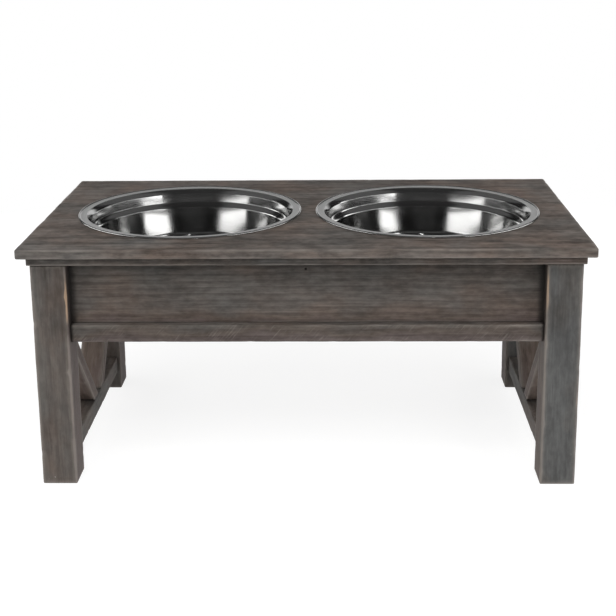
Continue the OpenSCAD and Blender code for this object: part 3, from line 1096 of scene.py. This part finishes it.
@dataclass
class Bowl:
    """A loose spun bowl: a profile turned about its axis, from the floor over the lip and back underneath."""

    node: str
    lip_width: float = 0.014
    lip_height: float = 0.002
    lip_dish: float = 0.00015
    bead_width: float = 0.003
    bead_rise: float = 0.0008
    roll_width: float = 0.0045
    roll_height: float = 0.0082
    band_height: float = 0.015
    step_width: float = 0.004
    step_height: float = 0.0065
    lean: float = math.radians(8)
    fillet: float = 0.026
    sheet: float = 0.001
    floor_crown: float = 0.0012
    straightness: float = 0.75
    band_satin: float = 0.03
    bead_satin: float = 0.1
    under_satin: float = 0.8
    satin_start: int = 12
    around: int = 288
    pole_share: float = 0.004
    floor_points: int = 14
    arc_points: int = 28
    wall_points: int = 22
    line_points: int = 17

    def __post_init__(self) -> None:
        """Reads the bowl's place and its main sizes from its own box."""
        self.low, self.high = node_box(self.node)
        self.rim = (self.high[0] - self.low[0]) / 2
        self.board = self.high[2] - self.lip_height
        self.flat = self.lip_height - self.bead_rise
        self.bead_start = self.rim - self.bead_width
        self.depth = self.board - self.low[2] - self.sheet

    def arc(self, r: float, z: float, wide: float, tall: float, start: float, end: float) -> Array:
        """Points (r + wide cos a, z + tall sin a) on part of an ellipse."""
        angle = start + (end - start) * crowded(self.arc_points)
        return np.stack([r + wide * np.cos(angle), z + tall * np.sin(angle)], -1)

    def inside(self) -> list[tuple[Array, Any]]:
        """The upper side of the sheet, from the floor's middle to the bead.

        Returns:
            Stretches of the profile: radius and height of their points, and how satin they are, from 0 to 1.
        """
        mouth = self.rim - self.lip_width
        slope = math.tan(self.lean)
        roll_lean = math.atan(self.roll_height / self.roll_width * slope)
        roll_z = self.flat - self.roll_height
        wall_top = roll_z + self.roll_height * math.sin(roll_lean)
        band = mouth - (wall_top + self.band_height) * slope
        foot = -self.band_height - self.step_height
        fillet_z = self.fillet - self.depth
        fillet_r = (band - self.step_width - self.fillet * math.cos(self.lean)
                    - (foot - fillet_z + self.fillet * math.sin(self.lean)) * slope)

        share = np.linspace(self.pole_share, 1, self.floor_points)[:-1]
        crown = self.floor_crown * np.cos(share * np.pi / 2) ** 2
        floor = np.stack([fillet_r * share, crown - self.depth], -1)
        turn = self.arc(fillet_r, fillet_z, self.fillet, self.fillet, -np.pi / 2, -self.lean)
        t = crowded(self.line_points)
        ease = (1 - self.straightness) * (1 - np.cos(np.pi * t)) / 2 + self.straightness * t
        step = np.stack([band - self.step_width * (1 - ease), foot + self.step_height * t], -1)
        roll = self.arc(mouth + self.roll_width * math.cos(roll_lean), roll_z, self.roll_width,
                        self.roll_height, np.pi - roll_lean, np.pi / 2)
        # The roll is pressed part of the way towards a straight slope
        roll = roll + self.straightness * (straight(roll[0], roll[-1], len(roll)) - roll)
        wall = straight(turn[-1], step[0], self.wall_points)[1:-1]
        upper = straight(step[-1], roll[0], self.line_points)[1:-1]
        # The lip dishes a little between its roll and its bead
        lip = straight(roll[-1], np.array([self.bead_start, self.flat]), self.line_points)
        lip[:, 1] -= self.lip_dish * np.sin(np.pi * t) ** 2
        rolled = self.band_satin + (1 - self.band_satin) * crowded(len(roll)) ** self.satin_start
        return [(floor, 0.0), (turn, 0.0), (wall, 0.0), (step, self.band_satin * t), (upper, self.band_satin),
                (roll, rolled), (lip[1:], 1.0)]

    def bead(self) -> Array:
        """The rim's bead: up from the lip on a flat quarter ellipse and down on a half ellipse.

        Returns:
            Radius and height of each point.
        """
        rise_points, fall_points = 8, 18
        rise = np.linspace(np.pi, np.pi / 2, rise_points)[1:]
        fall = np.linspace(np.pi / 2, -np.pi / 2, fall_points)[1:]
        reach = np.cos(np.concatenate([rise, fall])) * self.bead_width / 2
        middle = self.lip_height / 2
        height = np.concatenate([self.flat + self.bead_rise * np.sin(rise), middle + middle * np.sin(fall)])
        return np.stack([self.rim - self.bead_width / 2 + reach, height], -1)

    def surface(self) -> Surface:
        """The whole profile turned, with a pole above and below the floor, and spin and satin values.

        Returns:
            The closed surface.
        """
        stretches = self.inside()
        path = np.concatenate([points for points, _ in stretches])
        run = np.gradient(path, axis=0)
        run = run / np.linalg.norm(run, axis=1)[:, None]
        under = path + self.sheet * np.stack([run[:, 1], -run[:, 0]], -1)
        under = under[path[:, 0] < self.bead_start]
        tuck = np.array([[self.bead_start, 0.0], [self.bead_start, self.flat - self.sheet]])
        stretches += [(self.bead(), self.bead_satin), (tuck, 1.0), (under[::-1], self.under_satin)]
        profile = np.concatenate([points for points, _ in stretches])
        satin = np.concatenate([np.broadcast_to(shine, len(points)) for points, shine in stretches])
        along = distances(profile)
        whole = turned_part(profile[:, 0], profile[:, 1:], profile[[0, -1], 1], self.around)
        whole.points += [(self.low[0] + self.high[0]) / 2, 0, self.board]
        spin = turned_part(np.ones(len(profile)), along[:, None], along[[0, -1]], self.around)
        whole.values["spin"] = spin.points[:, [2, 0, 1]]
        whole.values["satin"] = np.append(np.repeat(satin, self.around), satin[[0, -1]])
        return whole


@dataclass
class ScrewSet:
    """Short pan-head screws up through the trim frame, each a turned profile with a crossed recess."""

    node: str = "top_screws"
    head_radius: float = 0.0035
    head_height: float = 0.0022
    dome: float = 0.72
    dome_rings: int = 14
    shank_radius: float = 0.00175
    tip_length: float = 0.002
    tip_radius: float = 0.0004
    slot_half_width: float = 0.0007
    slot_slope: float = 0.0003
    slot_reach: float = 0.0021
    slot_depth: float = 0.0011
    around: int = 48

    def centres(self) -> Array:
        """Middles of the heads: the solid's points in groups that lie within a head of each other.

        Returns:
            X and Y of each middle.
        """
        plan = node_points(self.node)[:, :2]
        key = np.round(plan / (4 * self.head_radius)).astype(int)
        groups = [plan[(key == k).all(1)] for k in np.unique(key, axis=0)]
        return np.array([(group.min(0) + group.max(0)) / 2 for group in groups])

    def surface(self) -> Surface:
        """All screws in one: a domed head, sunk where its recess crosses it, and a plain shank.

        Returns:
            The surface of all the screws.
        """
        low, high = (corner[2] for corner in node_box(self.node))
        seat = low + self.head_height
        share = np.linspace(0.05, 1, self.dome_rings)
        dome = self.head_height * (1 - np.sqrt(1 - self.dome * share ** 2))
        shank = [self.head_radius, self.shank_radius, self.shank_radius, self.tip_radius]
        radius = np.concatenate([self.head_radius * share, shank])
        z = np.concatenate([low + dome, [seat, seat, high - self.tip_length, high]])
        off_axis = np.abs(turned(radius, self.around))
        cross = np.clip((self.slot_half_width - off_axis.min(-1)) / self.slot_slope, 0, 1)
        cross = cross * np.clip((self.slot_reach - off_axis.max(-1)) / self.slot_slope, 0, 1)
        cross[len(share):] = 0
        depth = self.slot_depth
        screw = turned_part(radius, z[:, None] + depth * cross, [low + depth, high], self.around)
        screws = [Surface(screw.points + [*centre, 0], screw.faces) for centre in self.centres()]
        return Surface.joined(screws)


@dataclass
class BradPair:
    """The two brads through the aprons, each a shank with a small domed head just proud of the wood."""

    node: str = "stretcher_brads"
    head_radius: float = 0.0014
    head_edge: float = 0.0006
    neck: float = 0.0007
    dome: float = 0.9
    dome_rings: int = 6
    proud: float = 0.0002
    length: float = 0.028
    tip_length: float = 0.003
    tip_radius: float = 0.0002
    around: int = 24

    def surface(self) -> Surface:
        """A turned profile along Y for each brad: head, neck and point.

        Returns:
            The surface of both brads.
        """
        low, high = node_box(self.node)
        centre = (low + high) / 2 * [1, 0, 1]
        shank = (high[2] - low[2]) / 2
        share = np.linspace(0.1, 1, self.dome_rings)
        radius = np.concatenate([self.head_radius * share, [self.head_radius, shank, shank, self.tip_radius]])
        run = np.concatenate([-self.proud * np.sqrt(1 - self.dome * share ** 2),
                              [self.head_edge, self.neck, self.length - self.tip_length, self.length]])
        parts = []
        for side, face in ((-1, low[1]), (1, high[1])):
            ends = [face + side * self.proud, face - side * self.length]
            brad = turned_part(radius, (face - side * run)[:, None], ends, self.around)
            parts.append(Surface(brad.points[:, [0, 2, 1]] + centre, brad.faces))
        return Surface.joined(parts)


@dataclass
class Stand:
    """The wooden stand: its top, trim, legs, aprons, rails and braced ends, and what holds them."""

    top: StainedWood = StainedWood("stained_top", (0.023, 0.02, 0.018), (0.206, 0.182, 0.167), wear=0.5)
    legs: StainedWood = StainedWood("stained_legs", (0.057, 0.05, 0.046), (0.153, 0.139, 0.128), wear=1.15)
    panels: StainedWood = StainedWood("stained_panels", wear=0.7)
    rails: StainedWood = StainedWood("stained_rails", light=(0.147, 0.138, 0.129), wear=0.35, saw_marks=0.3)
    braces: StainedWood = StainedWood("stained_braces", (0.055, 0.046, 0.041), (0.215, 0.19, 0.172), wear=1.2)

    def side_sticks(self) -> list[tuple[Stick, StainedWood]]:
        """Trim, apron and rail of each side, and the foot rail of each open end.

        Returns:
            The sticks, each with its finish.
        """
        made = []
        for number, side in enumerate(LONG_SIDES + SHORT_SIDES):
            if side in LONG_SIDES:
                grain = Grain.X
                legs = [f"leg_{side}_{end}" for end in SHORT_SIDES]
                apron = {"warm_foot": 1.0}
                rail = {"edge_radius": 0.001, "warm_foot": 1.6, "foot_fade": 0.006,
                        "handled": (Handled(2, 0.05, 0.2, 0.18),)}
            else:
                grain = Grain.Y
                legs = [f"leg_{end}_{side}" for end in LONG_SIDES]
                apron = {"warmth": 0.1}
                rail = {"warmth": 0.05}
            # Reaches of the painted shade: on the apron under the trim, above the rail and beside the legs,
            # and on the rail beside the apron and the legs
            recess = {f"trim_{side}": 0.0115, f"rail_{side}": 0.0006, **dict.fromkeys(legs, 0.009)}
            shelf = {f"apron_{side}": 0.0004, **dict.fromkeys(legs, 0.004)}
            # The trim is darkened by painted shade under the top board's overhang
            looks = {"trim": ({"edge_radius": 0.0012, "chips": 1.2, "seams": {"top_board": 0.006}}, self.top),
                     "apron": ({"edge_radius": 0.0008, "chips": 0.8, "seams": recess, **apron}, self.panels),
                     "rail": ({"seams": shelf, **rail}, self.rails)}
            if side in SHORT_SIDES:
                # Foot rails get painted shade beside the legs
                looks["foot_rail"] = ({"warmth": 0.25, "seams": dict.fromkeys(legs, 0.005)}, self.rails)
            for kind, (look, wood) in looks.items():
                made.append((Stick(f"{kind}_{side}", grain, SEEDS[kind] + number, **look), wood))
        return made

    def leg_sticks(self) -> list[tuple[Stick, StainedWood]]:
        """The four legs, each with its own warmth and rubbed places.

        Returns:
            The sticks, each with its finish.
        """
        looks = {"front_left": (-0.02, (Handled(3, 0.085, 0.03), Handled(3, -0.05, 0.05, 0.4))),
                 "front_right": (-0.62, (Handled(2, 0.1, 0.03, 0.7), Handled(3, -0.03, 0.05, 0.4))),
                 "back_left": (0.1, (Handled(0, 0.02, 0.06, 0.5),)),
                 "back_right": (-0.4, (Handled(1, 0.05, 0.05, 0.6),))}
        made = []
        for number, (corner, (warmth, handled)) in enumerate(looks.items()):
            way, side = corner.split("_")
            # Reaches of the painted shade on each leg beside its aprons, trim and rail
            seams = {f"apron_{way}": 0.026, f"apron_{side}": 0.026, f"trim_{way}": 0.003,
                     f"rail_{way}": 0.002}
            leg = Stick(f"leg_{corner}", Grain.Z, SEEDS["leg"] + number, warmth, 0.0015, 1.6, inside_shade_tint=1.3,
                        handled=handled, seams=seams)
            made.append((leg, self.legs))
        return made

    def brace_sticks(self) -> list[tuple[Stick, StainedWood]]:
        """The two braces of each open end.

        Returns:
            The sticks, each with its finish.
        """
        made = []
        for number, (side, way) in enumerate((side, way) for side in SHORT_SIDES for way in LONG_SIDES):
            # Reach of the painted shade on each brace beside its foot rail, leg and rail
            seams = dict.fromkeys((f"foot_rail_{side}", f"leg_{way}_{side}", f"rail_{side}"), 0.004)
            brace = Brace(f"brace_{side}_{way}", Grain.Z, SEEDS["brace"] + number, 0.8, seams=seams)
            made.append((brace, self.braces))
        return made

    def build(self) -> None:
        """Makes and hangs every wooden piece and fastener of the stand."""
        woods = (self.top, self.legs, self.panels, self.rails, self.braces)
        finishes = {wood.name: wood.material() for wood in woods}
        for stick, wood in self.side_sticks() + self.leg_sticks() + self.brace_sticks():
            piece = make_piece(f"{stick.node}_wood", stick.surface(), finishes[wood.name])
            hang(stick.node, piece, STAND)
        board = TopBoard()
        piece = make_piece("top_board_wood", board.surface(), finishes[self.top.name])
        hang(board.node, piece, STAND)
        zinc = PlatedSteel("zinc_plate", (0.56, 0.56, 0.54), (0.38, 0.38, 0.37), 0.3).material()
        black = PlatedSteel("blackened_steel", (0.02, 0.019, 0.018), (0.05, 0.045, 0.04), 0.5).material()
        for name, metal, finish in (("top_screw_heads", ScrewSet(), zinc), ("brad_heads", BradPair(), black)):
            piece = make_piece(name, metal.surface(), finish)
            hang(metal.node, piece, STAND)
        pine = BareWood("bare_pine", Grain.Y).material()
        birch = BareWood("bare_birch", Grain.Z, (0.55, 0.42, 0.28), (0.68, 0.55, 0.39)).material()
        hidden = {"centre_stretcher": pine, "rail_dowels": birch, "brace_dowels": birch, "frame_screws": zinc}
        for node, finish in hidden.items():
            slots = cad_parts[node].material_slots
            for slot in slots:
                slot.material = finish
            LOG.info("%s: solid kept, %d slots dressed", node, len(slots))


@dataclass
class BowlPair:
    """The two loose bowls."""

    finish: SpunSteel = SpunSteel()

    def build(self) -> None:
        """Makes both bowls and hangs each on its own body."""
        steel = self.finish.material()
        for side in SHORT_SIDES:
            bowl = Bowl(f"bowl_{side}")
            piece = make_piece(f"bowl_{side}_steel", bowl.surface(), steel)
            hang(bowl.node, piece, f"{side}_bowl")


@dataclass(frozen=True)
class Softbox:
    """A soft lamp that faces the stand."""

    name: str
    azimuth: float
    elevation: float
    distance: float
    width: float
    height: float
    watts: float
    shape: LampShape = LampShape.SQUARE
    target: Triple = (0.0, 0.0, 0.26)
    mirrored: bool = True

    def build(self) -> None:
        """Hangs the lamp at its azimuth, from the front towards the right, and its elevation."""
        lamp = bpy.data.lights.new(self.name, "AREA")
        lamp.shape = self.shape.value
        lamp.size, lamp.size_y = self.width, self.height
        lamp.energy = self.watts
        a, e = math.radians(self.azimuth), math.radians(self.elevation)
        back = Vector((math.sin(a) * math.cos(e), -math.cos(a) * math.cos(e), math.sin(e)))
        holder = bpy.data.objects.new(self.name, lamp)
        bpy.context.scene.collection.objects.link(holder)
        holder.location = Vector(self.target) + back * self.distance
        holder.rotation_euler = back.to_track_quat("Z", "Y").to_euler()
        holder.visible_camera = False
        holder.visible_glossy = self.mirrored


@dataclass
class Studio:
    """A pale floor, soft lamps and a dim room behind a white backdrop."""

    floor_radius: float = 1.3
    floor_sides: int = 96
    floor_rings: tuple[float, ...] = (0.15, 0.4, 0.7, 1.0)
    floor_colour: Colour = (0.86, 0.86, 0.855)
    floor_cloud: Colour = (0.8, 0.8, 0.8)
    floor_glow_start: float = 0.4
    floor_glow_near: float = 0.85
    floor_glow_far: float = 1.0
    floor_shade_share: float = 0.3
    white: Colour = (1.0, 1.0, 1.0)
    front_level: float = 0.025
    back_level: float = 0.012
    front_band_level: float = 0.16
    side_level: float = 0.1
    ceiling_level: float = 0.16
    backdrop_level: float = 1.0
    backdrop_height: float = math.radians(14)
    lamps: tuple[Softbox, ...] = (
        Softbox("left_round", -88, 11, 1.35, 2.0, 0.42, 7, LampShape.ROUND),
        Softbox("right_square", 79, 12.3, 1.35, 2.3, 0.45, 9.5),
        Softbox("front_middle", 7, 25, 2.0, 0.07, 0.07, 0.15),
        Softbox("left_high", -92, 55, 1.6, 1.5, 0.6, 3.5, mirrored=False),
        Softbox("right_high", 60, 50, 1.6, 1.0, 0.5, 1.6, mirrored=False),
        Softbox("front_left", -46, 23, 1.8, 0.35, 0.35, 1.5, mirrored=False),
        Softbox("front_right", 40, 24, 1.8, 0.35, 0.35, 1.5, mirrored=False),
        Softbox("key_front", -6, 48, 2.2, 1.6, 1.0, 29, mirrored=False),
        Softbox("top_front", 0, 70, 2.2, 2.4, 1.6, 9, mirrored=False),
    )

    def build(self) -> None:
        """Lays the floor, hangs the lamps and sets the surround."""
        self.lay_floor()
        self.set_surround()
        for lamp in self.lamps:
            lamp.build()

    def lay_floor(self) -> None:
        """A flat disc: rings of growing radius about the origin."""
        radius = self.floor_radius * np.array(self.floor_rings)
        points = raised(turned(radius, self.floor_sides), 0.0)
        ring = np.arange(self.floor_sides)
        faces = [grid_faces(len(radius), self.floor_sides), fan_faces(ring, len(points))]
        disc = Surface(np.concatenate([points, np.zeros((1, 3))]), faces)
        floor = make_piece("floor", disc, self.floor_finish())

    def floor_finish(self) -> bpy.types.Material:
        """A pale floor that the camera and the metal see as white, with the stand's shadow kept on it.

        Returns:
            The material.
        """
        finish, graph = new_finish("pale_floor")
        seen = 0.0
        for kind in Ray:
            seen = graph.math("MAXIMUM", graph.ray(kind), seen)
        spot = graph.spot()
        cloud = graph.noise(spot, 1.5, 1.5, 3.0)
        shade = graph.mix(graph.times(cloud, 0.06), self.floor_colour, self.floor_cloud)
        matt = graph.add("BsdfDiffuse", {"Color": shade}).outputs[0]
        reach = graph.add("VectorMath", {0: spot}, operation="LENGTH").outputs["Value"]
        share = 1 - self.floor_shade_share
        level = graph.ramp(reach, self.floor_glow_start, self.floor_radius,
                           self.floor_glow_near / share, self.floor_glow_far / share)
        glow = graph.add("Emission", {"Color": self.white, "Strength": level}).outputs[0]
        pale = graph.add("MixShader", {0: self.floor_shade_share, 1: glow, 2: matt}).outputs[0]
        both = graph.add("MixShader", {0: seen, 1: matt, 2: pale}).outputs[0]
        graph.add("OutputMaterial", {"Surface": both})
        return finish

    def set_surround(self) -> None:
        """A dim room with grey walls and a low white backdrop behind; the camera sees white all round.

        Each part of the room lies between limits on the direction of a ray: x right, y back and z up.
        """
        world = bpy.data.worlds.new("studio")
        bpy.context.scene.world = world
        world.use_nodes = True
        graph = Graph(world.node_tree)
        x, y, z = graph.axes(graph.add("TexCoord").outputs["Generated"])
        top = math.sin(self.backdrop_height)
        below = graph.ramp(z, top - 0.02, top + 0.02, 1.0, 0.0)
        backdrop = graph.times(graph.ramp(y, 0.8, 0.93), below)
        ahead = graph.times(graph.ramp(y, -0.93, -0.8, 1.0, 0.0), graph.band(z, 0.08, 0.14, 0.24, 0.3))
        walls = graph.ramp(graph.math("ABSOLUTE", x), 0.3, 0.6)
        aside = graph.times(walls, graph.band(z, 0.3, 0.45, 0.75, 0.9))
        overhead = graph.ramp(z, 0.9, 0.985)
        level = graph.ramp(y, -0.8, 0.6, self.front_level, self.back_level)
        for mask, bright in ((backdrop, self.backdrop_level), (ahead, self.front_band_level),
                             (aside, self.side_level), (overhead, self.ceiling_level),
                             (graph.ray(Ray.CAMERA), 1.0)):
            level = graph.math("MAXIMUM", level, graph.times(mask, bright))
        sky = graph.add("Background", {"Color": self.white, "Strength": level}).outputs[0]
        graph.add("OutputWorld", {"Surface": sky})


@dataclass(frozen=True)
class PhotoCamera:
    """The photograph's viewpoint, from a fit to its points, with less shift to keep other views framed."""

    place: Triple = (0.0349, -1.3790, 0.6047)
    yaw: float = 1.471
    pitch: float = 13.503
    roll: float = -0.578
    lens: float = 70.23
    sensor: float = 36.0
    shift_y: float = -0.16

    def build(self) -> None:
        """Sets up the scene's camera."""
        data = bpy.data.cameras.new("photo_camera")
        data.lens = self.lens
        data.sensor_width = self.sensor
        data.shift_y = self.shift_y
        camera = bpy.data.objects.new("photo_camera", data)
        bpy.context.scene.collection.objects.link(camera)
        turn = Matrix.Rotation(math.radians(self.yaw), 4, "Z")
        tilt = Matrix.Rotation(math.radians(90 - self.pitch), 4, "X")
        tip = Matrix.Rotation(math.radians(self.roll), 4, "Z")
        camera.matrix_world = Matrix.Translation(self.place) @ turn @ tilt @ tip
        bpy.context.scene.camera = camera


def main() -> None:
    """Builds the camera, the studio, the stand and the bowls."""
    logging.basicConfig(level=logging.INFO, format="%(name)s %(message)s")
    bpy.context.scene.view_settings.view_transform = "Standard"
    for effect in (build_wood_grain, build_edge_wear, build_scuffs, build_painted_seam_shade, build_spun_lines):
        effect()
    for part in (PhotoCamera(), Studio(), Stand(), BowlPair()):
        part.build()


if __name__ == "__main__":
    main()
